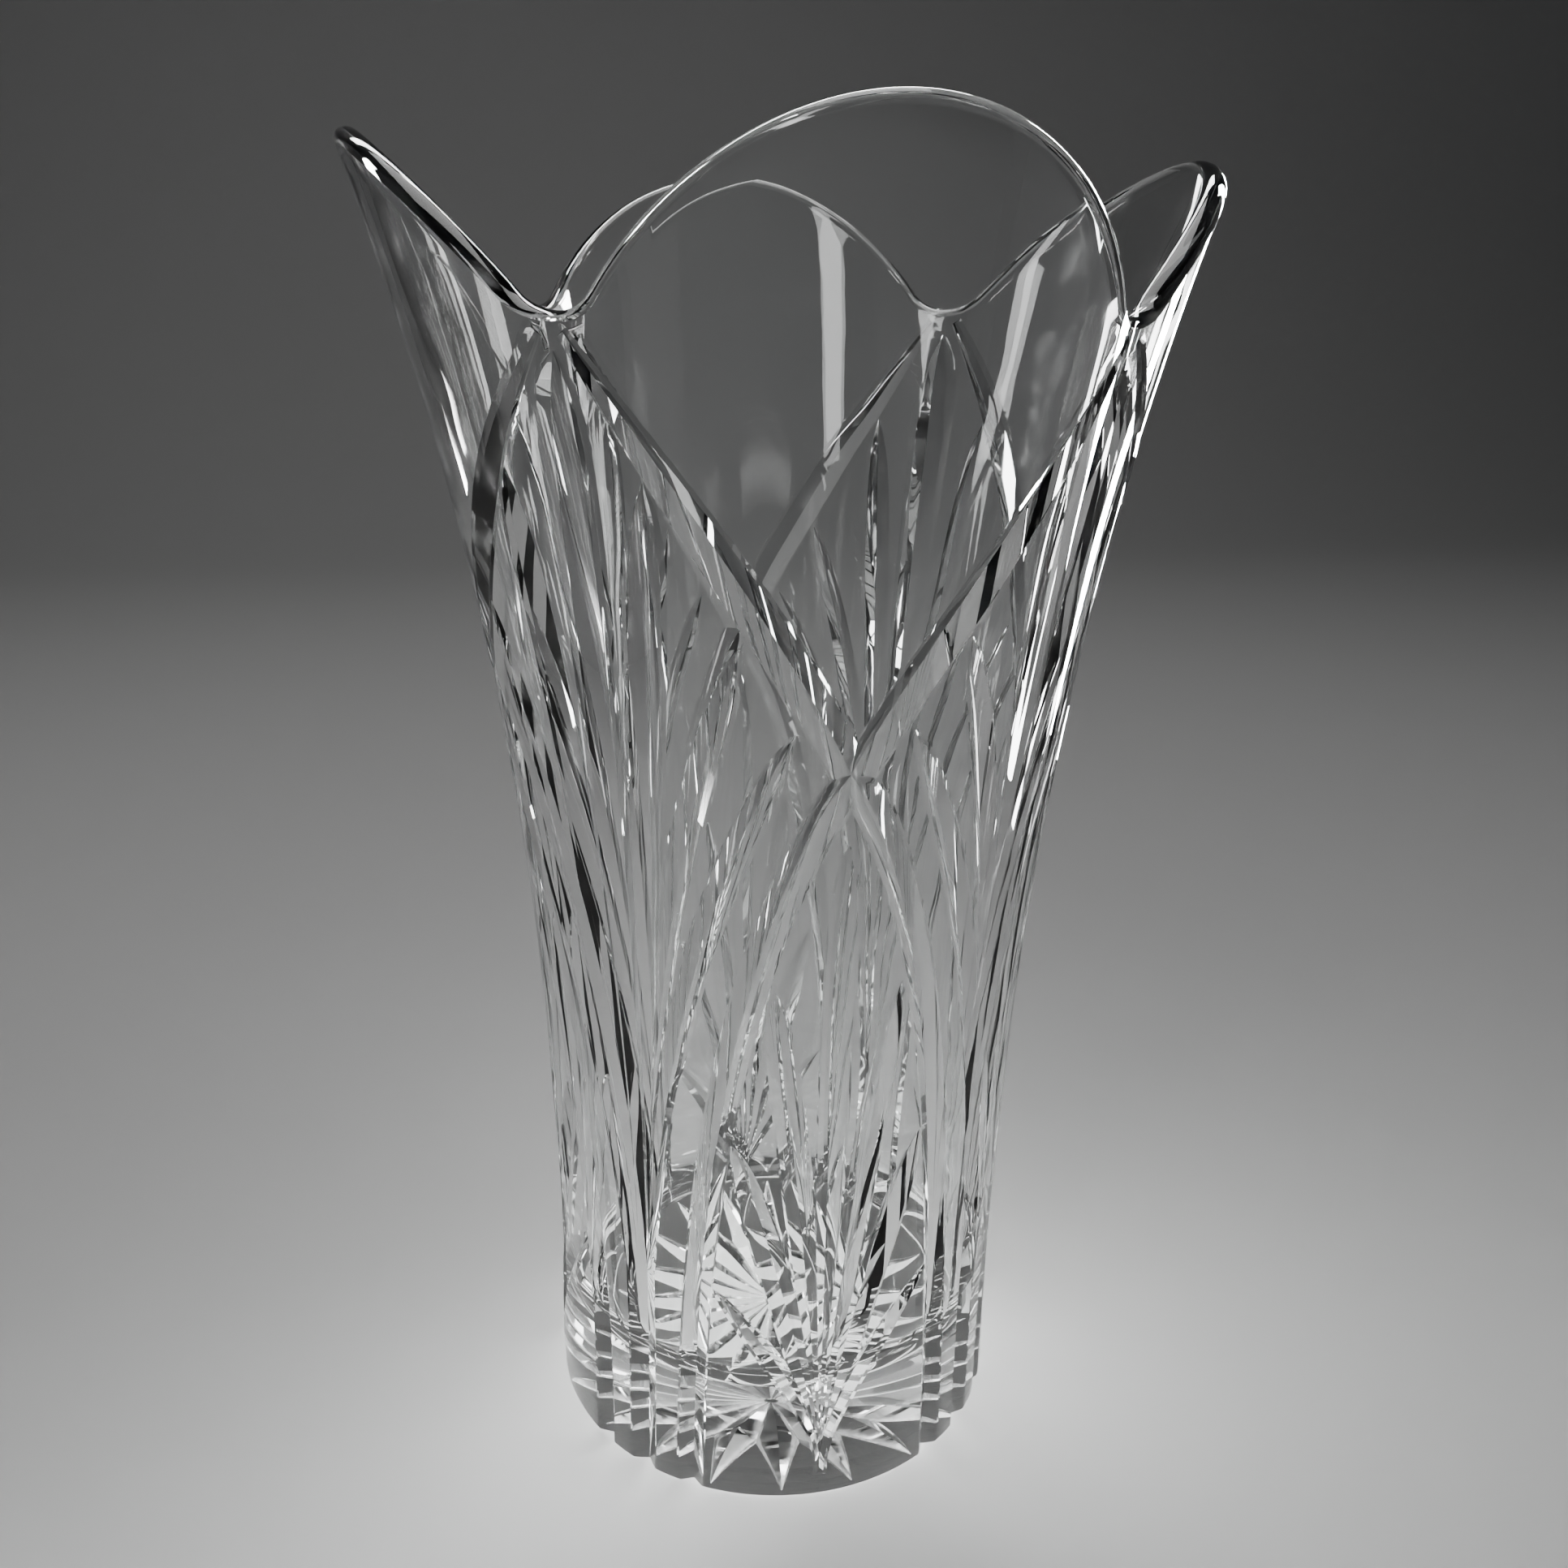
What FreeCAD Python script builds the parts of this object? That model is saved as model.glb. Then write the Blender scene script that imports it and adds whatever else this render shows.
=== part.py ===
import FreeCAD, Part
import os
import math
import Sketcher

# Cut crystal vase: one piece of colourless lead glass, pressed and then cut.
# The frame is centred on the vase axis, +Z up, with the table at z = 0.
# One petal of the rim faces -Y. An azimuth is measured from the middle of that petal,
# positive towards +X, so a point is (r sin a, -r cos a, z). All lengths are millimetres.

os.makedirs("parts", exist_ok=True)
doc = FreeCAD.newDocument("CutCrystalVase")

# ---------------------------------------------------------------- driving dimensions
sheet = doc.addObject("Spreadsheet::Sheet", "Dimensions")
DIMENSIONS = {
    "height": 254.0,              # table to the tip of a petal
    "foot_radius": 48.3,
    "waist_radius": 48.0,         # the narrowest place
    "waist_height": 30.0,
    "tip_radius": 77.8,           # outer radius at the tip of a petal
    "notch_height": 226.6,        # lowest point of the rim, between two petals
    "notch_radius": 65.25,
    "rim_arch_radius": 46.5,      # a petal's rim, seen square on
    "lobe_start": 100.0,          # below this height the vase is round
    "lobe_offset": 14.0,          # shift of each lobe's centre at the notch height
    "wall_foot": 7.5,
    "wall_rim": 4.4,
    "floor_height": 20.0,
    "floor_corner": 11.0,
    "foot_bevel": 0.6,
    "crossing_height": 155.7,     # where the two bands of a petal cross
    "band_foot_azimuth": 31.6,    # degrees from the petal's middle, at the table
    "band_width": 7.2,            # above the crossing
    "band_width_low": 6.0,        # below it
    "band_width_notch": 1.6,      # at its top end, just under the notch
    "band_fade": 44.0,            # length over which its width changes
    "groove_share": 0.32,         # depth of a cut for its width
    "star_radius": 45.0,          # star cut under the foot
    "star_waist": 19.5,           # radius where its rays part and are widest
    "star_opening": 0.35,         # width of a ray for its radius, inside the waist
    "star_centre": 1.0,           # radius left uncut on the axis
}
for row, (alias, value) in enumerate(DIMENSIONS.items(), start=1):
    sheet.set("A%d" % row, alias)
    sheet.set("B%d" % row, str(value))
    sheet.setAlias("B%d" % row, alias)
doc.recompute()


def size(alias):
    """Value of a sheet cell."""
    return float(sheet.get(alias))


PETALS = 4
STAR_RAYS = 20
HALF_PETAL = 45.0                 # degrees from a petal's middle to its notch
TOP_SPARE = 8.0                   # the blank stands this much above the petals


# ---------------------------------------------------------------- form of the vase
def outer_radius(z):
    """Outer radius in the middle of a petal: nearly straight below, flared above."""
    rise = max(0.0, z - size("waist_height")) / (size("height") - size("waist_height"))
    flare = size("tip_radius") - size("waist_radius")
    foot = (size("foot_radius") - size("waist_radius")) * max(0.0, 1.0 - z / size("waist_height"))
    return size("waist_radius") + foot + flare * (0.05 * rise + 0.95 * rise ** 2.5)


def lobe_shift(z):
    """Distance from the axis to the centre of a lobe's arc."""
    rise = (z - size("lobe_start")) / (size("notch_height") - size("lobe_start"))
    return size("lobe_offset") * max(0.0, rise) ** 1.6


def wall(z):
    """Glass thickness at a height."""
    rise = min(1.0, max(0.0, z / size("height")))
    return size("wall_foot") + (size("wall_rim") - size("wall_foot")) * rise ** 0.7


def radius_at(azimuth, z):
    """Outer radius at any azimuth, in degrees."""
    folded = math.radians((azimuth + HALF_PETAL) % (2 * HALF_PETAL) - HALF_PETAL)
    shift = lobe_shift(z)
    arc = outer_radius(z) - shift
    return shift * math.cos(folded) + math.sqrt(arc ** 2 - (shift * math.sin(folded)) ** 2)


def polar(azimuth, radius, z):
    a = math.radians(azimuth)
    return FreeCAD.Vector(radius * math.sin(a), -radius * math.cos(a), z)


def section(z, inset):
    """Closed four-lobed outline at a height, made of four arcs."""
    edges = []
    shift = lobe_shift(z)
    arc = outer_radius(z) - shift - inset
    half = math.radians(HALF_PETAL)
    notch = shift * math.cos(half) + math.sqrt(arc ** 2 - (shift * math.sin(half)) ** 2)
    for petal in range(PETALS):
        middle = petal * 2 * HALF_PETAL
        edges.append(Part.Arc(polar(middle - HALF_PETAL, notch, z),
                              polar(middle, shift + arc, z),
                              polar(middle + HALF_PETAL, notch, z)).toShape())
    return Part.Wire(edges)


def lofted(name, heights, inset):
    """Solid through the sections at the heights, smooth from one to the next."""
    shape = Part.makeLoft([section(z, inset(z)) for z in heights], True, False)
    piece = doc.addObject("Part::Feature", name)
    piece.Shape = shape
    return piece


top = size("height") + TOP_SPARE
outer_heights = [0.0, 30.0, 65.0, 100.0, 130.0, 160.0, 190.0, 215.0, 240.0, top]
blank = lofted("Blank", outer_heights, lambda z: 0.0)
foot_edges = [e for e in blank.Shape.Edges if e.BoundBox.ZMax < 1e-3]
blank.Shape = blank.Shape.makeFillet(size("foot_bevel"), foot_edges)
inner_heights = [size("floor_height")] + outer_heights[2:-1] + [top + 2.0]
cavity = lofted("Cavity", inner_heights, wall)
floor_edges = [e for e in cavity.Shape.Edges
               if abs(e.BoundBox.ZMax - size("floor_height")) < 1e-3]
cavity.Shape = cavity.Shape.makeFillet(size("floor_corner"), floor_edges)


# ---------------------------------------------------------------- the petals of the rim
# Each pair of opposite petals is left under an arch: a wide arc for the petal and a small
# hollow arc at each end, so that the rim turns smoothly through the notch.
def arch(name, turn):
    body_sketch = doc.addObject("Sketcher::SketchObject", name)
    body_sketch.Placement = FreeCAD.Placement(
        FreeCAD.Vector(0, 0, 0),
        FreeCAD.Rotation(FreeCAD.Vector(0, 0, 1), turn) * FreeCAD.Rotation(FreeCAD.Vector(1, 0, 0), 90))
    radius = size("rim_arch_radius")
    centre = size("height") - radius
    side = size("notch_radius") * math.sin(math.radians(HALF_PETAL))
    drop = size("notch_height") - centre
    valley = (side ** 2 + drop ** 2 - radius ** 2) / (2 * (radius - drop))
    lean = math.atan2(drop + valley, side)
    touch = (radius * math.cos(lean), centre + radius * math.sin(lean))
    z_axis = FreeCAD.Vector(0, 0, 1)
    crown = body_sketch.addGeometry(Part.ArcOfCircle(
        Part.Circle(FreeCAD.Vector(0, centre, 0), z_axis, radius), lean, math.pi - lean))
    right = body_sketch.addGeometry(Part.ArcOfCircle(
        Part.Circle(FreeCAD.Vector(side, drop + centre + valley, 0), z_axis, valley),
        math.pi + lean, 1.5 * math.pi))
    left = body_sketch.addGeometry(Part.ArcOfCircle(
        Part.Circle(FreeCAD.Vector(-side, drop + centre + valley, 0), z_axis, valley),
        1.5 * math.pi, 2 * math.pi - lean))
    low = -5.0
    corner = [(side, size("notch_height")), (side, low), (-side, low), (-side, size("notch_height"))]
    sides = []
    for start, end in zip(corner[:-1], corner[1:]):
        sides.append(body_sketch.addGeometry(Part.LineSegment(
            FreeCAD.Vector(start[0], start[1], 0), FreeCAD.Vector(end[0], end[1], 0))))
    add = body_sketch.addConstraint
    add(Sketcher.Constraint("Coincident", crown, 1, right, 1))
    add(Sketcher.Constraint("Coincident", crown, 2, left, 2))
    add(Sketcher.Constraint("Coincident", right, 2, sides[0], 1))
    add(Sketcher.Constraint("Coincident", sides[0], 2, sides[1], 1))
    add(Sketcher.Constraint("Coincident", sides[1], 2, sides[2], 1))
    add(Sketcher.Constraint("Coincident", sides[2], 2, left, 1))
    prism = doc.addObject("Part::Extrusion", name + "Prism")
    prism.Base = body_sketch
    prism.DirMode = "Normal"
    prism.Solid = True
    prism.Symmetric = True
    prism.setExpression("LengthFwd", "Dimensions.tip_radius * 2 + 20")
    return prism


front_back = arch("RimArchFront", 0)
sides_arch = arch("RimArchSide", 90)
petal_form = doc.addObject("Part::Fuse", "PetalForm")
petal_form.Base = front_back
petal_form.Tool = sides_arch
rimmed = doc.addObject("Part::Common", "Rimmed")
rimmed.Base = blank
rimmed.Tool = petal_form
hollow = doc.addObject("Part::Cut", "Hollow")
hollow.Base = rimmed
hollow.Tool = cavity
doc.recompute()


# ---------------------------------------------------------------- the cuts
# Every cut is a mitre groove: a V whose two flanks meet in a sharp bottom line. A cutter is
# the V carried along the cut's path, and stands clear of the glass on the outside.
CLEAR = 3.0
LEAF_POINT = 7.0                  # a leaf reaches its full width in about this length
LEAF_SWELL = 1.3                  # and keeps it over the outer part of its length
LEAF_TIP = 0.2                    # width of its very tip


def frame_at(azimuth, z):
    """Point on the glass and the outward direction there."""
    point = polar(azimuth, radius_at(azimuth, z), z)
    slope = outer_radius(z + 0.5) - outer_radius(z - 0.5)
    return point, polar(azimuth, 1.0, -slope).normalize()


def groove(path, width, steps):
    """Solid of a V groove. path and width are functions of a share from 0 to 1."""
    wires = []
    for step in range(steps + 1):
        share = step / steps
        point, outward = frame_at(*path(share))
        ahead = frame_at(*path(min(1.0, share + 0.01)))[0]
        behind = frame_at(*path(max(0.0, share - 0.01)))[0]
        across = (ahead - behind).normalize().cross(outward).normalize()
        deep = width(share) * size("groove_share")
        half = (deep + CLEAR) / size("groove_share") / 2.0
        corners = [point - outward * deep,
                   point + outward * CLEAR + across * half,
                   point + outward * CLEAR - across * half]
        wires.append(Part.makePolygon(corners + corners[:1]))
    return Part.makeLoft(wires, True, False)


def band(side):
    """Curved band from a notch, across the middle of the petal and down to the foot."""
    crossing = size("crossing_height")
    start = size("notch_height") - 3.0
    end = -3.0

    def path(share):
        z = start + (end - start) * share
        if z > crossing:
            azimuth = HALF_PETAL * ((z - crossing) / (size("notch_height") - crossing)) ** 1.08
        else:
            azimuth = -size("band_foot_azimuth") * (1.0 - (max(z, 0.0) / crossing) ** 2.2) ** 0.8
        return side * azimuth, z

    def width(share):
        z = start + (end - start) * share
        above = min(1.0, max(0.0, (z - crossing) / size("band_fade") + 0.5))
        above *= above * (3.0 - 2.0 * above)
        near_notch = max(0.0, 1.0 - (start - z) / size("band_fade")) ** 2
        return (size("band_width_low") + (size("band_width") - size("band_width_low")) * above
                + (size("band_width_notch") - size("band_width")) * near_notch)

    return groove(path, width, 24)


def leaf(middle, tip_azimuth, tip, root, bend, widest, root_width):
    """Leaf-shaped cut that leaves the middle azimuth at its root and bends to its tip."""
    def path(share):
        return middle + tip_azimuth * share ** bend, root + (tip - root) * share

    def width(share):
        point = 1.0 - math.exp(-(1.0 - share) * (tip - root) / LEAF_POINT)
        swell = math.sin(0.5 * math.pi * min(1.0, LEAF_SWELL * share))
        return LEAF_TIP + point * (root_width + (widest - root_width) * swell)

    return groove(path, width, 14)


# Both fans: azimuth of the tip from the fan's middle, height of the tip, height of the root,
# bend of the path, full width and width at the root. The short fan stands under each crossing
# and the tall one under each notch, where its middle leaf runs out through the foot's edge.
SHORT_FAN = [(0.0, 144.0, 5.0, 1.0, 6.0, 2.0), (13.1, 116.0, 6.5, 1.25, 6.0, 2.0),
             (21.4, 82.7, 8.0, 1.25, 6.4, 2.0), (25.8, 49.5, 9.5, 1.5, 4.8, 1.6)]
TALL_FAN = [(0.0, 221.0, -3.0, 1.0, 7.6, 6.4), (12.8, 203.0, 12.0, 1.4, 6.8, 2.2),
            (26.8, 179.0, 9.0, 2.4, 5.6, 1.8), (35.0, 164.0, 6.0, 2.3, 5.2, 1.8)]

one_petal = [band(-1), band(1)]
for middle, fan in ((0.0, SHORT_FAN), (HALF_PETAL, TALL_FAN)):
    for tip_azimuth, tip, root, bend, widest, root_width in fan:
        for side in ((1,) if tip_azimuth == 0 else (-1, 1)):
            for notch in ((0,) if middle == 0 else (-1, 0)):
                around = middle + notch * 2 * HALF_PETAL
                if abs(around + side * tip_azimuth) <= HALF_PETAL + 2.0:
                    one_petal.append(leaf(around, side * tip_azimuth, tip, root, bend, widest,
                                          root_width))


def star_ray(azimuth):
    """V cut under the foot: it widens from the axis to its waist and runs out to a point."""
    wires = []
    across = polar(azimuth + 90.0, 1.0, 0.0)
    up = FreeCAD.Vector(0, 0, 1)
    opening = size("star_opening")
    for radius, width in ((size("star_centre"), opening * size("star_centre")),
                          (size("star_waist"), opening * size("star_waist")),
                          (size("star_radius"), LEAF_TIP)):
        point = polar(azimuth, radius, 0.0)
        deep = width * size("groove_share")
        half = (deep + CLEAR) / size("groove_share") / 2.0
        corners = [point + up * deep,
                   point - up * CLEAR + across * half,
                   point - up * CLEAR - across * half]
        wires.append(Part.makePolygon(corners + corners[:1]))
    return Part.makeLoft(wires, True, True)


# One quarter of the vase, a petal from notch to notch, is cut; the other three are its copies.
# The cuts are made one after another, because they overlap each other at their roots.
reach = size("tip_radius") * 2.0
corners = [FreeCAD.Vector(0, 0, -CLEAR), polar(-HALF_PETAL, reach, -CLEAR),
           polar(HALF_PETAL, reach, -CLEAR)]
wedge = Part.Face(Part.makePolygon(corners + corners[:1]))
wedge = wedge.extrude(FreeCAD.Vector(0, 0, size("height") + 2 * CLEAR))
quarter = doc.addObject("Part::Feature", "Quarter")
glass = hollow.Shape.common(wedge)
around_axis = (FreeCAD.Vector(0, 0, 0), FreeCAD.Vector(0, 0, 1))
for tool in one_petal:
    glass = glass.cut(tool)
for ray in range(STAR_RAYS // PETALS + 1):
    glass = glass.cut(star_ray(ray * 360.0 / STAR_RAYS - HALF_PETAL))
quarter.Shape = glass
quarter.Placement = FreeCAD.Placement()

# ---------------------------------------------------------------- the finished vase
vase = doc.addObject("Part::Feature", "Vase")
vase.Label = "crystal_vase"
others = []
for petal in range(1, PETALS):
    other = glass.copy()
    other.rotate(*around_axis, petal * 2 * HALF_PETAL)
    others.append(other)
whole = glass.multiFuse(others).removeSplitter()
vase.Shape = whole.Solids[0]
vase.Placement = FreeCAD.Placement()
doc.recompute()

for item in doc.Objects:
    if {"Invalid", "Error"} & set(item.State):
        raise RuntimeError(item.Name + " failed: " + ", ".join(item.State))
if len(glass.Solids) != 1 or len(whole.Solids) != 1:
    raise RuntimeError("the cuts broke the glass: %d and %d solids" % (len(glass.Solids), len(whole.Solids)))
for piece in (vase,):
    if piece.Shape.isNull() or not piece.Shape.isValid():
        raise RuntimeError(piece.Label + " has no valid shape")
    piece.Shape.exportStep("parts/" + piece.Label + ".step")
    box = piece.Shape.optimalBoundingBox()
    print(piece.Label, "volume %.0f mm3" % piece.Shape.Volume,
          "box %.1f x %.1f x %.1f mm" % (box.XLength, box.YLength, box.ZLength), "from z %.2f" % box.ZMin)
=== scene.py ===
import math

import bmesh
import bpy
from mathutils import Matrix, Vector


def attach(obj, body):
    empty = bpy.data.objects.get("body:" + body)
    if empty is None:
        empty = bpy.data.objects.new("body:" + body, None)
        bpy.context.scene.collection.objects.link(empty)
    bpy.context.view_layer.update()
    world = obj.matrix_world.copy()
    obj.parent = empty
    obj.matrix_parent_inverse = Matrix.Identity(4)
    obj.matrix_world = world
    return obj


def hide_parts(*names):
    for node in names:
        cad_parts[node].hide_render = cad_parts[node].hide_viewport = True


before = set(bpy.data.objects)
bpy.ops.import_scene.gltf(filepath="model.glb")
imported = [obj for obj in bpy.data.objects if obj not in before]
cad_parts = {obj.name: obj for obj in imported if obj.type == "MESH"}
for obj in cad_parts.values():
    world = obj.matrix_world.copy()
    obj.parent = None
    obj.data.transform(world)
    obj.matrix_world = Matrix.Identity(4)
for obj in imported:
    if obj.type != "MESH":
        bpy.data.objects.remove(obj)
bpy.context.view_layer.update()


# ---------------------------------------------------------------------------- the glass blank
# The vase is one piece of colourless lead crystal. Its blank is pressed, with a thick foot, a
# flared wall and four petals whose rim is ground to an arch and fire polished. Half a petal is
# made here, from its middle to the notch beside it.
MM = 0.001
HEIGHT = 254.0 * MM
FOOT_RADIUS = 48.3 * MM
WAIST_RADIUS = 48.0 * MM
WAIST_HEIGHT = 30.0 * MM
TIP_RADIUS = 77.8 * MM
NOTCH_HEIGHT = 226.6 * MM
NOTCH_RADIUS = 65.25 * MM
RIM_ARCH = 46.5 * MM
LOBE_START = 100.0 * MM
LOBE_OFFSET = 14.0 * MM
WALL_FOOT = 7.5 * MM
WALL_RIM = 4.4 * MM
FLOOR_HEIGHT = 20.0 * MM
FLOOR_CORNER = 11.0 * MM
FOOT_BEVEL = 0.6 * MM
LIP = 1.9 * MM                      # height of the rounded rim above the ground edge
HALF_PETAL = math.radians(45.0)
ROWS_OUTSIDE = 128
ROWS_INSIDE = 56
COLUMNS = 46
BEVEL_STEPS = 8
LIP_STEPS = 16
OVERRUN = math.radians(1.5)         # the half petal is made this much too wide, then trimmed
SEAM = 0.002 * MM                   # points nearer than this are one point
FLARE_START = 0.05                  # share of the flare that is straight; the rest is curved
FLARE_POWER = 2.5
LOBE_POWER = 1.6
WALL_POWER = 0.7
SHAPED_FROM = 0.5 * LOBE_START      # below this the turned blank keeps its heights
RIM_PULL = 1.5                      # how quickly the rim's shape fades below the rim
RIM_ROUNDS = 40                     # rounds that settle the rim's height


def outer_radius(z):
    """Radius of the glass at the middle of a petal."""
    rise = max(0.0, z - WAIST_HEIGHT) / (HEIGHT - WAIST_HEIGHT)
    foot = (FOOT_RADIUS - WAIST_RADIUS) * max(0.0, 1.0 - z / WAIST_HEIGHT)
    bent = FLARE_START * rise + (1.0 - FLARE_START) * rise ** FLARE_POWER
    flare = (TIP_RADIUS - WAIST_RADIUS) * bent
    return WAIST_RADIUS + foot + flare


def lobe_shift(z):
    """Distance from the axis to the centre of a petal's arc, seen from above."""
    rise = max(0.0, z - LOBE_START) / (NOTCH_HEIGHT - LOBE_START)
    return LOBE_OFFSET * rise ** LOBE_POWER


def wall(z):
    """Thickness of the glass."""
    rise = min(1.0, max(0.0, z / HEIGHT))
    return WALL_FOOT + (WALL_RIM - WALL_FOOT) * rise ** WALL_POWER


def lobed_radius(azimuth, z):
    """Radius of the glass at an azimuth, measured from the middle of the front petal."""
    folded = (azimuth + HALF_PETAL) % (2 * HALF_PETAL) - HALF_PETAL
    shift = lobe_shift(z)
    arc = outer_radius(z) - shift
    return shift * math.cos(folded) + math.sqrt(arc ** 2 - (shift * math.sin(folded)) ** 2)


def polar(azimuth, radius, z):
    """Point at an azimuth from -Y towards +X, a radius and a height."""
    return Vector((radius * math.sin(azimuth), -radius * math.cos(azimuth), z))


ARCH_CENTRE = HEIGHT - RIM_ARCH
NOTCH_SIDE = NOTCH_RADIUS * math.sin(HALF_PETAL)
NOTCH_DROP = NOTCH_HEIGHT - ARCH_CENTRE
VALLEY = (NOTCH_SIDE ** 2 + NOTCH_DROP ** 2 - RIM_ARCH ** 2) / (2 * (RIM_ARCH - NOTCH_DROP))
ARCH_END = RIM_ARCH * math.cos(math.atan2(NOTCH_DROP + VALLEY, NOTCH_SIDE))


def arch(side):
    """Height of the rim at a distance to the side of the petal's middle."""
    if side < ARCH_END:
        return ARCH_CENTRE + math.sqrt(RIM_ARCH ** 2 - side ** 2)
    from_notch = NOTCH_SIDE - min(side, NOTCH_SIDE)
    return NOTCH_HEIGHT + VALLEY - math.sqrt(VALLEY ** 2 - from_notch ** 2)


def rim(azimuth):
    """Height of the rim at an azimuth."""
    folded = abs((azimuth + HALF_PETAL) % (2 * HALF_PETAL) - HALF_PETAL)
    height = NOTCH_HEIGHT
    for _ in range(RIM_ROUNDS):
        height = arch(lobed_radius(folded, height) * math.sin(folded))
    return height


def profile():
    """Outline of the turned blank from the foot's centre, over the lip, to the floor's centre."""
    points = [(FOOT_RADIUS * share, 0.0) for share in (0.0, 0.2, 0.4, 0.6, 0.8)]
    for step in range(BEVEL_STEPS + 1):
        turn = 0.5 * math.pi * step / BEVEL_STEPS
        points.append((FOOT_RADIUS - FOOT_BEVEL * (1 - math.sin(turn)),
                       FOOT_BEVEL * (1 - math.cos(turn))))
    top = HEIGHT - LIP
    for row in range(1, ROWS_OUTSIDE + 1):
        z = FOOT_BEVEL + (top - FOOT_BEVEL) * row / ROWS_OUTSIDE
        points.append((outer_radius(z), z))
    for step in range(1, LIP_STEPS):
        turn = math.pi * step / LIP_STEPS
        across = wall(HEIGHT) / 2 * (1 - math.cos(turn))
        points.append((outer_radius(top) - across, top + LIP * math.sin(turn)))
    low = FLOOR_HEIGHT + FLOOR_CORNER
    for row in range(ROWS_INSIDE + 1):
        z = top + (low - top) * row / ROWS_INSIDE
        points.append((outer_radius(z) - wall(z), z))
    inside = outer_radius(low) - wall(low)
    for step in range(1, BEVEL_STEPS):
        turn = 0.5 * math.pi * step / BEVEL_STEPS
        points.append((inside - FLOOR_CORNER * (1 - math.cos(turn)),
                       low - FLOOR_CORNER * math.sin(turn)))
    flat = inside - FLOOR_CORNER
    points += [(flat * share, FLOOR_HEIGHT) for share in (1.0, 0.75, 0.5, 0.25, 0.0)]
    return points


def shape_petal(vert):
    """Move a point of the turned blank to its place on the petal."""
    radius = math.hypot(vert.co.x, vert.co.y)
    z = vert.co.z
    if z < SHAPED_FROM or radius < SEAM:
        return
    azimuth = math.atan2(vert.co.x, -vert.co.y)
    depth = (outer_radius(z) - radius) / wall(z)
    share = (z - SHAPED_FROM) / (HEIGHT - SHAPED_FROM)
    new_z = z - (HEIGHT - rim(azimuth)) * share ** RIM_PULL
    new_radius = lobed_radius(azimuth, new_z) - depth * wall(new_z)
    vert.co = polar(azimuth, new_radius, new_z)


half_petal = bmesh.new()
outline = [half_petal.verts.new(polar(-OVERRUN, radius, z)) for radius, z in profile()]
for start, end in zip(outline[:-1], outline[1:]):
    half_petal.edges.new((start, end))
bmesh.ops.spin(half_petal, geom=half_petal.verts[:] + half_petal.edges[:], cent=(0, 0, 0),
               axis=(0, 0, 1), angle=HALF_PETAL + 2 * OVERRUN, steps=COLUMNS, use_merge=False)
bmesh.ops.remove_doubles(half_petal, verts=half_petal.verts[:], dist=0.5 * SEAM)
for vert in half_petal.verts:
    shape_petal(vert)
half_petal.edges.new([v for v in half_petal.verts if math.hypot(v.co.x, v.co.y) < SEAM])
for side in (-OVERRUN, HALF_PETAL + OVERRUN):
    plane = polar(side + math.pi / 2, 1.0, 0.0)
    side_edges = [e for e in half_petal.edges if all(abs(v.co.dot(plane)) < SEAM for v in e.verts)]
    bmesh.ops.contextual_create(half_petal, geom=side_edges)
bmesh.ops.recalc_face_normals(half_petal, faces=half_petal.faces[:])


# ---------------------------------------------------------------------------- the cuts
# Every cut is a mitre groove, ground with a V-edged wheel and polished afterwards: two bands to
# a petal that cross below it, a short fan under each crossing, a tall fan under each notch and
# a star under the foot. Each cutter is the V carried along its path.
CROSSING = 155.7 * MM
BAND_FADE = 44.0 * MM               # height over which a band's width changes
BAND_FOOT = math.radians(31.6)      # from the petal's middle, where the band meets the table
BAND_WIDTH = 7.2 * MM
BAND_WIDTH_LOW = 6.0 * MM
BAND_WIDTH_NOTCH = 1.6 * MM
GROOVE_SHARE = 0.32                 # depth of a cut for its width
CLEAR = 1.6 * MM                    # the cutters stand this much proud of the glass
SHOULDER = 0.35 * MM                # width that polishing softens, each side of an edge
MOST_SHOULDER = 0.3                 # the most that is softened, for the width of a narrow cut
BAND_SPARE = 3.0 * MM               # a band starts this far below the notch
BAND_BEND_HIGH = 1.08
BAND_BEND_LOW = (2.2, 0.8)
BAND_STEPS = 60
LEAF_STEPS = 48
LEAF_POINT = 7.0 * MM               # height over which a leaf narrows to its tip
LEAF_SWELL = 1.3                    # how soon above its root a leaf is widest
LEAF_TIP = 0.2 * MM                 # width left at the tip
STAR_RAYS = 20
STAR_CENTRE = 1.0 * MM              # radius left uncut on the axis
STAR_WAIST = 19.5 * MM              # radius where the rays part and are widest
STAR_RADIUS = 45.0 * MM
STAR_OPENING = 0.35                 # width of a ray for its radius, inside the waist


def on_glass(azimuth, z):
    """Point on the outside of the glass and the outward direction there."""
    slope = (outer_radius(z + 0.5 * MM) - outer_radius(z - 0.5 * MM)) / MM
    return polar(azimuth, lobed_radius(azimuth, z), z), polar(azimuth, 1.0, -slope).normalized()


def cutter(rings):
    """Closed mesh through the rings, each a list of points."""
    tool = bmesh.new()
    loops = []
    for ring in rings:
        verts = [tool.verts.new(point) for point in ring]
        loops.append([tool.edges.new(pair) for pair in zip(verts, verts[1:] + verts[:1])])
    for near, far in zip(loops[:-1], loops[1:]):
        bmesh.ops.bridge_loops(tool, edges=near + far)
    for end in (loops[0], loops[-1]):
        bmesh.ops.contextual_create(tool, geom=end)
    bmesh.ops.recalc_face_normals(tool, faces=tool.faces[:])
    return tool


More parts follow.
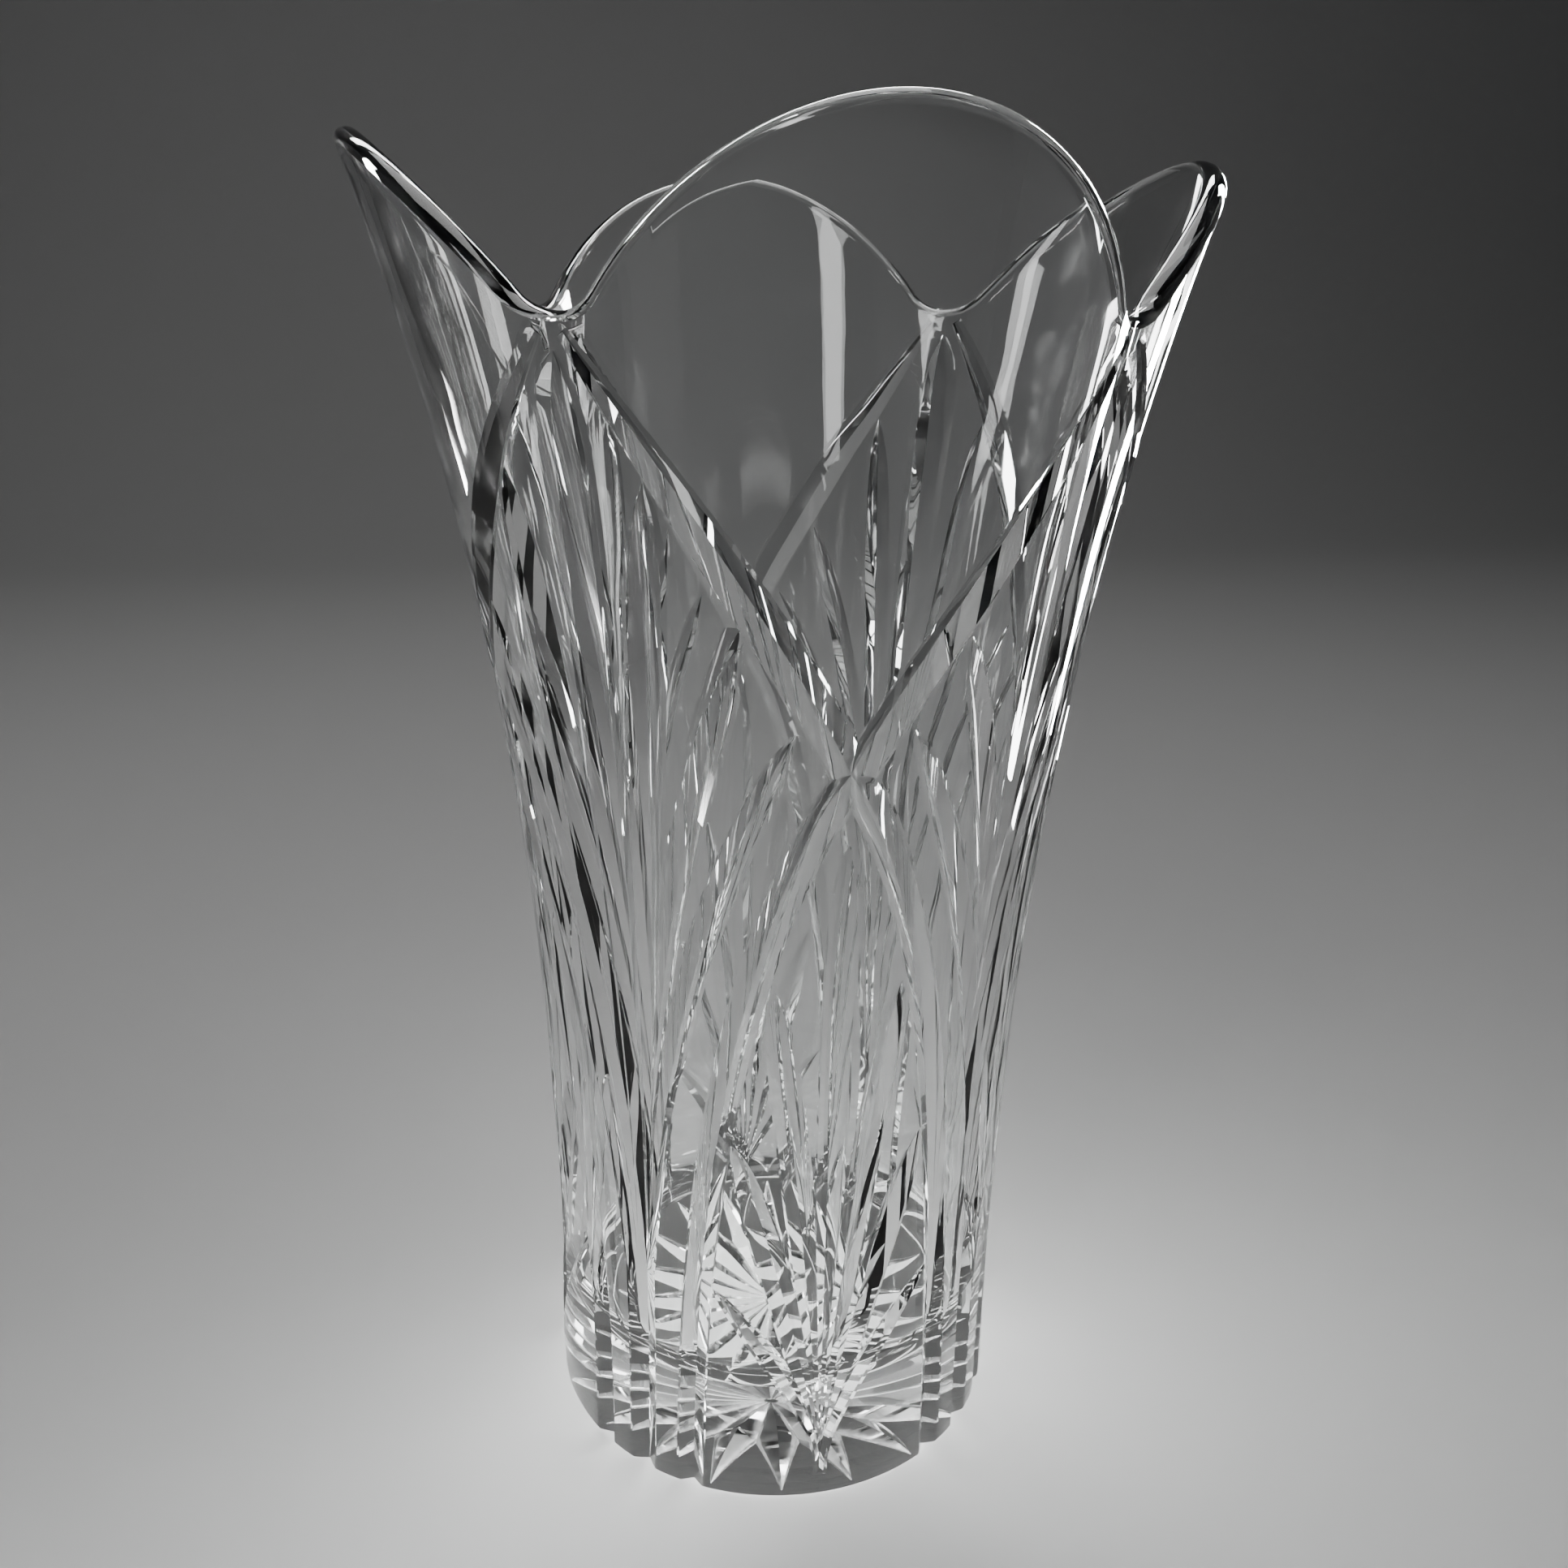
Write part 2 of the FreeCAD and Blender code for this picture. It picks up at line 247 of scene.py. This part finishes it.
def mitre(point, outward, across, width):
    """Section of a V whose shoulders are softened by polishing."""
    soft = min(SHOULDER, MOST_SHOULDER * width)
    flank = width / 2 - soft
    top = width / 2 + soft + CLEAR / GROOVE_SHARE
    ring = [point - outward * width * GROOVE_SHARE]
    for side, lift in ((flank, -2 * GROOVE_SHARE * soft), (top, CLEAR), (-top, CLEAR),
                       (-flank, -2 * GROOVE_SHARE * soft)):
        ring.append(point + across * side + outward * lift)
    return ring


def groove(path, width, steps):
    """Cutter for a V groove. path and width take the share of its length, from 0 to 1."""
    nearby = 0.01
    rings = []
    for step in range(steps + 1):
        share = step / steps
        point, outward = on_glass(*path(share))
        ahead = on_glass(*path(min(1.0, share + nearby)))[0]
        behind = on_glass(*path(max(0.0, share - nearby)))[0]
        across = (ahead - behind).normalized().cross(outward).normalized()
        rings.append(mitre(point, outward, across, width(share)))
    return cutter(rings)


def band(side):
    """Cutter for a band from a notch, across the petal's middle and down to the foot."""
    start = NOTCH_HEIGHT - BAND_SPARE
    end = -BAND_SPARE
    upper = NOTCH_HEIGHT - CROSSING

    def path(share):
        z = start + (end - start) * share
        if z > CROSSING:
            azimuth = HALF_PETAL * ((z - CROSSING) / upper) ** BAND_BEND_HIGH
        else:
            bend, pull = BAND_BEND_LOW
            azimuth = -BAND_FOOT * (1.0 - (max(z, 0.0) / CROSSING) ** bend) ** pull
        return side * azimuth, z

    def width(share):
        z = start + (end - start) * share
        above = min(1.0, max(0.0, (z - CROSSING) / BAND_FADE + 0.5))
        above *= above * (3.0 - 2.0 * above)
        near_notch = max(0.0, 1.0 - (start - z) / BAND_FADE) ** 2
        return (BAND_WIDTH_LOW + (BAND_WIDTH - BAND_WIDTH_LOW) * above
                + (BAND_WIDTH_NOTCH - BAND_WIDTH) * near_notch)

    return groove(path, width, BAND_STEPS)


def leaf(middle, tip_azimuth, tip, root, bend, widest, root_width):
    """Cutter for a leaf of a fan, from its root near the foot to its point."""
    def path(share):
        return middle + tip_azimuth * share ** bend, root + (tip - root) * share

    def width(share):
        point = 1.0 - math.exp(-(1.0 - share) * (tip - root) / LEAF_POINT)
        swell = math.sin(0.5 * math.pi * min(1.0, LEAF_SWELL * share))
        return LEAF_TIP + point * (root_width + (widest - root_width) * swell)

    return groove(path, width, LEAF_STEPS)


def star_ray(azimuth):
    """Cutter for a ray of the star. It widens to its waist and then runs out to a point."""
    rings = []
    across = polar(azimuth + math.pi / 2, 1.0, 0.0)
    up = Vector((0, 0, 1))
    for radius, width in ((STAR_CENTRE, STAR_OPENING * STAR_CENTRE),
                          (STAR_WAIST, STAR_OPENING * STAR_WAIST), (STAR_RADIUS, LEAF_TIP)):
        rings.append(mitre(polar(azimuth, radius, 0.0), -up, across, width))
    return cutter(rings)


# A leaf's tip in degrees from the fan's middle, then the height of its tip and of its root, its
# bend, its widest width and its width at the root. Lengths are millimetres.
SHORT_FAN = [(0.0, 144.0, 5.0, 1.0, 6.0, 2.0), (13.1, 116.0, 6.5, 1.25, 6.0, 2.0),
             (21.4, 82.7, 8.0, 1.25, 6.4, 2.0), (25.8, 49.5, 9.5, 1.5, 4.8, 1.6)]
TALL_FAN = [(0.0, 221.0, -3.0, 1.0, 7.6, 6.4), (12.8, 203.0, 12.0, 1.4, 6.8, 2.2),
            (26.8, 179.0, 9.0, 2.4, 5.6, 1.8), (35.0, 164.0, 6.0, 2.3, 5.2, 1.8)]

cutters = [band(1), band(-1)]
for middle, fan in ((0.0, SHORT_FAN), (HALF_PETAL, TALL_FAN)):
    for degrees, tip, root, bend, widest, root_width in fan:
        for side in ((1,) if degrees == 0 else (-1, 1)):
            cutters.append(leaf(middle, side * math.radians(degrees), tip * MM, root * MM, bend,
                                widest * MM, root_width * MM))
for ray in range(-1, 3):
    cutters.append(star_ray((ray + 0.5) * 2 * math.pi / STAR_RAYS))

blank_mesh = bpy.data.meshes.new("half_petal")
half_petal.to_mesh(blank_mesh)
half_petal.free()
work = bpy.data.objects.new("half_petal", blank_mesh)
bpy.context.scene.collection.objects.link(work)
for tool in cutters:
    tool_mesh = bpy.data.meshes.new("cutter")
    tool.to_mesh(tool_mesh)
    tool.free()
    tool_object = bpy.data.objects.new("cutter", tool_mesh)
    bpy.context.scene.collection.objects.link(tool_object)
    cut = work.modifiers.new("cut", "BOOLEAN")
    cut.operation = "DIFFERENCE"
    cut.solver = "EXACT"
    cut.object = tool_object
    bpy.context.view_layer.update()
    result = work.evaluated_get(bpy.context.evaluated_depsgraph_get())
    done = bpy.data.meshes.new_from_object(result)
    work.modifiers.clear()
    work.data = done
    bpy.data.objects.remove(tool_object)
    bpy.data.meshes.remove(tool_mesh)

# The half petal is trimmed at the petal's middle and at the notch, mirrored, and set round the
# axis four times. Its seams are then closed.
whole = bmesh.new()
whole.from_mesh(work.data)
bpy.data.objects.remove(work)
for plane in (-polar(math.pi / 2, 1.0, 0.0), polar(HALF_PETAL + math.pi / 2, 1.0, 0.0)):
    on_plane = [v for v in whole.verts if abs(v.co.dot(plane)) < SEAM]
    for vert in on_plane:
        vert.co -= plane * vert.co.dot(plane)
    bmesh.ops.remove_doubles(whole, verts=on_plane, dist=SEAM)
    across_plane = [f for f in whole.faces if len({v.co.dot(plane) > 0 for v in f.verts}) == 2]
    bmesh.ops.triangulate(whole, faces=across_plane, ngon_method="EAR_CLIP")
    everything = whole.verts[:] + whole.edges[:] + whole.faces[:]
    bmesh.ops.bisect_plane(whole, geom=everything, dist=0.05 * SEAM, plane_co=(0, 0, 0),
                           plane_no=plane, clear_outer=True)
bmesh.ops.delete(whole, geom=[e for e in whole.edges if not e.link_faces], context="EDGES")
bmesh.ops.mirror(whole, geom=whole.verts[:] + whole.edges[:] + whole.faces[:], axis="X",
                 merge_dist=SEAM)
bmesh.ops.recalc_face_normals(whole, faces=whole.faces[:])
bmesh.ops.spin(whole, geom=whole.verts[:] + whole.edges[:] + whole.faces[:], cent=(0, 0, 0),
               axis=(0, 0, 1), angle=1.5 * math.pi, steps=3, use_duplicate=True)
seam_verts = [v for v in whole.verts if v.is_boundary]
bmesh.ops.remove_doubles(whole, verts=seam_verts, dist=SEAM)
bmesh.ops.recalc_face_normals(whole, faces=whole.faces[:])
SHARP = math.radians(13.5)          # a cut's edges stay crisp above this angle
for face in whole.faces:
    face.smooth = True
for edge in whole.edges:
    edge.smooth = not (edge.is_manifold and edge.calc_face_angle(0.0) > SHARP)
vase_mesh = bpy.data.meshes.new("crystal_vase_glass")
whole.to_mesh(vase_mesh)
whole.free()
vase = bpy.data.objects.new("crystal_vase_glass", vase_mesh)
bpy.context.scene.collection.objects.link(vase)

CRYSTAL_TINT = (0.985, 0.992, 0.99, 1.0)
CRYSTAL_IOR = 1.545
WAVE_SCALE = 42.0
WAVE_DEPTH = 0.22 * MM
POLISH_SCALE = 130.0
DULLEST = 0.05
SCRATCH_SCALE = 900.0
SCRATCH_ROUGHNESS = 0.22
LAMP_TINT = (0.955, 0.96, 0.96, 1.0)
crystal = bpy.data.materials.new("lead_crystal")
crystal.use_nodes = True
nodes = crystal.node_tree.nodes
links = crystal.node_tree.links
shader = nodes["Principled BSDF"]
shader.inputs["Base Color"].default_value = CRYSTAL_TINT
shader.inputs["IOR"].default_value = CRYSTAL_IOR
shader.inputs["Transmission Weight"].default_value = 1.0
on_piece = nodes.new("ShaderNodeTexCoord")

# The pressed walls are very slightly wavy, and polishing leaves a faint unevenness.
waves = nodes.new("ShaderNodeTexNoise")
waves.inputs["Scale"].default_value = WAVE_SCALE
waves.inputs["Detail"].default_value = 1.0
links.new(on_piece.outputs["Object"], waves.inputs["Vector"])
wave_bump = nodes.new("ShaderNodeBump")
wave_bump.inputs["Strength"].default_value = 1.0
wave_bump.inputs["Distance"].default_value = WAVE_DEPTH
links.new(waves.outputs["Fac"], wave_bump.inputs["Height"])
links.new(wave_bump.outputs["Normal"], shader.inputs["Normal"])

# The polish is a little duller in patches, and the foot is finely scratched by standing.
polish = nodes.new("ShaderNodeTexNoise")
polish.inputs["Scale"].default_value = POLISH_SCALE
polish.inputs["Detail"].default_value = 4.0
links.new(on_piece.outputs["Object"], polish.inputs["Vector"])
dull = nodes.new("ShaderNodeMapRange")
dull.inputs["From Min"].default_value = 0.45
dull.inputs["From Max"].default_value = 0.8
dull.inputs["To Max"].default_value = DULLEST
links.new(polish.outputs["Fac"], dull.inputs["Value"])
scratches = nodes.new("ShaderNodeTexNoise")
scratches.inputs["Scale"].default_value = SCRATCH_SCALE
scratches.inputs["Detail"].default_value = 6.0
links.new(on_piece.outputs["Object"], scratches.inputs["Vector"])
height = nodes.new("ShaderNodeSeparateXYZ")
links.new(on_piece.outputs["Object"], height.inputs["Vector"])
near_table = nodes.new("ShaderNodeMapRange")
near_table.inputs["From Min"].default_value = 1.0 * MM
near_table.inputs["From Max"].default_value = 0.1 * MM
near_table.inputs["To Max"].default_value = SCRATCH_ROUGHNESS
links.new(height.outputs["Z"], near_table.inputs["Value"])
worn = nodes.new("ShaderNodeMath")
worn.operation = "MULTIPLY"
links.new(near_table.outputs["Result"], worn.inputs[0])
links.new(scratches.outputs["Fac"], worn.inputs[1])
roughness = nodes.new("ShaderNodeMath")
roughness.operation = "ADD"
links.new(dull.outputs["Result"], roughness.inputs[0])
links.new(worn.outputs["Value"], roughness.inputs[1])
links.new(roughness.outputs["Value"], shader.inputs["Roughness"])

# Lamps shine through the glass on to the table, a little weakened at each surface.
lamp_glass = nodes.new("ShaderNodeBsdfTransparent")
lamp_glass.inputs["Color"].default_value = LAMP_TINT
for_lamps = nodes.new("ShaderNodeMixShader")
light_path = nodes.new("ShaderNodeLightPath")
links.new(light_path.outputs["Is Shadow Ray"], for_lamps.inputs[0])
links.new(shader.outputs[0], for_lamps.inputs[1])
links.new(lamp_glass.outputs[0], for_lamps.inputs[2])
links.new(for_lamps.outputs[0], nodes["Material Output"].inputs["Surface"])
vase_mesh.materials.append(crystal)

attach(vase, "root")
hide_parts("crystal_vase")


# ---------------------------------------------------------------------------- floor and light
# A plain pale sweep of matte paper: a floor that turns up into a wall well behind the vase.
HALF_SWEEP = 1.6
SWEEP_TURN = 0.6
TURN_START = 1.0
SWEEP_TOP = 2.4
TURN_STEPS = 12
PAPER_GREY = (0.52, 0.52, 0.515, 1.0)
ROOM_TINT = (0.5, 0.52, 0.55, 1.0)
ROOM_LIGHT = 0.05
sweep = bmesh.new()
edge_points = [(-HALF_SWEEP, -HALF_SWEEP, 0.0), (-HALF_SWEEP, TURN_START, 0.0)]
for step in range(1, TURN_STEPS + 1):
    turn = 0.5 * math.pi * step / TURN_STEPS
    edge_points.append((-HALF_SWEEP, TURN_START + SWEEP_TURN * math.sin(turn),
                        SWEEP_TURN * (1 - math.cos(turn))))
edge_points.append((-HALF_SWEEP, HALF_SWEEP, SWEEP_TOP))
side = [sweep.verts.new(point) for point in edge_points]
edges = [sweep.edges.new(pair) for pair in zip(side[:-1], side[1:])]
made = bmesh.ops.extrude_edge_only(sweep, edges=edges)
bmesh.ops.translate(sweep, vec=(2 * HALF_SWEEP, 0, 0),
                    verts=[v for v in made["geom"] if isinstance(v, bmesh.types.BMVert)])
for face in sweep.faces:
    face.smooth = True
sweep_mesh = bpy.data.meshes.new("floor")
sweep.to_mesh(sweep_mesh)
sweep.free()
floor = bpy.data.objects.new("floor", sweep_mesh)
bpy.context.scene.collection.objects.link(floor)
paper = bpy.data.materials.new("floor_paper")
paper.use_nodes = True
paper_shader = paper.node_tree.nodes["Principled BSDF"]
paper_shader.inputs["Base Color"].default_value = PAPER_GREY
paper_shader.inputs["Roughness"].default_value = 1.0
paper_shader.inputs["Specular IOR Level"].default_value = 0.0
sweep_mesh.materials.append(paper)

world = bpy.data.worlds.new("studio")
world.use_nodes = True
world.node_tree.nodes["Background"].inputs["Color"].default_value = ROOM_TINT
world.node_tree.nodes["Background"].inputs["Strength"].default_value = ROOM_LIGHT
bpy.context.scene.world = world


THROWN_SHARE = 0.3                  # of a strip's light that the glass throws on to the floor


def softbox(name, place, target, width, height, power, on_floor):
    """Lamp with a rectangular front, aimed at a target. on_floor lets it light matte surfaces."""
    light = bpy.data.lights.new(name, "AREA")
    light.shape = "RECTANGLE"
    light.size = width
    light.size_y = height
    light.energy = power
    lamp = bpy.data.objects.new(name, light)
    lamp.location = place
    lamp.rotation_euler = (Vector(target) - Vector(place)).to_track_quat("-Z", "Y").to_euler()
    lamp.visible_camera = False
    lamp.visible_diffuse = on_floor
    if not on_floor:
        light.use_nodes = True
        lamp_nodes = light.node_tree.nodes
        lamp_links = light.node_tree.links
        path = lamp_nodes.new("ShaderNodeLightPath")
        weaker = lamp_nodes.new("ShaderNodeMapRange")
        weaker.inputs["To Min"].default_value = 1.0
        weaker.inputs["To Max"].default_value = THROWN_SHARE
        lamp_links.new(path.outputs["Diffuse Depth"], weaker.inputs["Value"])
        lamp_links.new(weaker.outputs["Result"], lamp_nodes["Emission"].inputs["Strength"])
    bpy.context.scene.collection.objects.link(lamp)


# One softbox overhead lights the floor, and narrow ones round the vase draw white lines in
# its facets without lighting the floor.
softbox("top", (0.0, 0.20, 1.1), (0, 0.10, 0.0), 0.6, 0.6, 4.0, True)
softbox("key", (-0.5, -0.6, 0.7), (0, 0, 0.12), 0.15, 0.6, 2.0, True)
softbox("rim", (0.0, 0.45, 0.75), (0, 0, 0.2), 0.7, 0.12, 8.0, False)
softbox("left_strip", (-0.30, 0.05, 0.22), (0, 0, 0.10), 0.04, 0.44, 11.0, False)
softbox("right_strip", (0.30, 0.12, 0.22), (0, 0, 0.10), 0.04, 0.44, 11.0, False)
softbox("left_back_strip", (-0.50, 0.50, 0.22), (0, 0, 0.10), 0.05, 0.44, 15.0, False)
softbox("right_back_strip", (0.50, 0.50, 0.22), (0, 0, 0.10), 0.05, 0.44, 15.0, False)

# Two black cards stand upright, one on each side, and darken the facets that look past the
# floor. Only the glass sees them. They fade out at the foot, where they meet the floor.
CARD_NEAR = Vector((0.22, -0.15, 0.0))
CARD_LENGTH = Vector((0.55, 0.9, 0.0))
CARD_HEIGHT = 0.5
CARD_FADE = 0.08
CARD_TURN = math.radians(-11.95)
card_black = bpy.data.materials.new("card_black")
card_black.use_nodes = True
card_nodes = card_black.node_tree.nodes
card_links = card_black.node_tree.links
card_shader = card_nodes["Principled BSDF"]
card_shader.inputs["Base Color"].default_value = (0.01, 0.01, 0.01, 1.0)
card_shader.inputs["Roughness"].default_value = 0.9
on_card = card_nodes.new("ShaderNodeTexCoord")
card_height = card_nodes.new("ShaderNodeSeparateXYZ")
card_links.new(on_card.outputs["Object"], card_height.inputs["Vector"])
card_fade = card_nodes.new("ShaderNodeMapRange")
card_fade.interpolation_type = "SMOOTHSTEP"
card_fade.inputs["From Max"].default_value = CARD_FADE
card_links.new(card_height.outputs["Z"], card_fade.inputs["Value"])
card_clear = card_nodes.new("ShaderNodeBsdfTransparent")
card_mix = card_nodes.new("ShaderNodeMixShader")
card_links.new(card_fade.outputs["Result"], card_mix.inputs[0])
card_links.new(card_clear.outputs[0], card_mix.inputs[1])
card_links.new(card_shader.outputs[0], card_mix.inputs[2])
card_links.new(card_mix.outputs[0], card_nodes["Material Output"].inputs["Surface"])
for side in (-1, 1):
    card = bmesh.new()
    near = [card.verts.new((side * CARD_NEAR.x, CARD_NEAR.y, z)) for z in (0.0, CARD_HEIGHT)]
    made = bmesh.ops.extrude_edge_only(card, edges=[card.edges.new(near)])
    bmesh.ops.translate(card, vec=(side * CARD_LENGTH.x, CARD_LENGTH.y, 0.0),
                        verts=[v for v in made["geom"] if isinstance(v, bmesh.types.BMVert)])
    bmesh.ops.rotate(card, verts=card.verts[:], cent=(0, 0, 0),
                     matrix=Matrix.Rotation(CARD_TURN, 3, "Z"))
    card_mesh = bpy.data.meshes.new("card")
    card.to_mesh(card_mesh)
    card.free()
    card_mesh.materials.append(card_black)
    flag = bpy.data.objects.new("card", card_mesh)
    flag.visible_camera = False
    flag.visible_shadow = False
    flag.visible_diffuse = False
    bpy.context.scene.collection.objects.link(flag)


# ---------------------------------------------------------------------------- camera
# The camera looks down on the vase from a little to the left of the front petal.
CAMERA_DISTANCE = 264.27 * MM
CAMERA_HEIGHT = 228.96 * MM
PETAL_TURN = math.radians(11.95)
PITCH = math.radians(19.385)
YAW = math.radians(0.05)
ROLL = math.radians(1.072)
SENSOR = 36.0
FOCAL_SHARE = 1703.4 / 1932         # focal length for a frame one unit wide
camera_data = bpy.data.cameras.new("camera")
camera_data.sensor_width = SENSOR
camera_data.lens = FOCAL_SHARE * SENSOR
camera = bpy.data.objects.new("camera", camera_data)
forward = Vector((math.sin(YAW) * math.cos(PITCH), math.cos(YAW) * math.cos(PITCH),
                  -math.sin(PITCH)))
right = Vector((math.cos(YAW), -math.sin(YAW), 0.0))
up = right.cross(forward)
right_rolled = right * math.cos(ROLL) + up * math.sin(ROLL)
up_rolled = up * math.cos(ROLL) - right * math.sin(ROLL)
pose = Matrix((right_rolled, up_rolled, -forward)).transposed().to_4x4()
pose.translation = Vector((0.0, -CAMERA_DISTANCE, CAMERA_HEIGHT))
camera.matrix_world = Matrix.Rotation(-PETAL_TURN, 4, "Z") @ pose
camera_data.dof.use_dof = False
camera_data.clip_start = 0.01
bpy.context.scene.collection.objects.link(camera)
bpy.context.scene.camera = camera
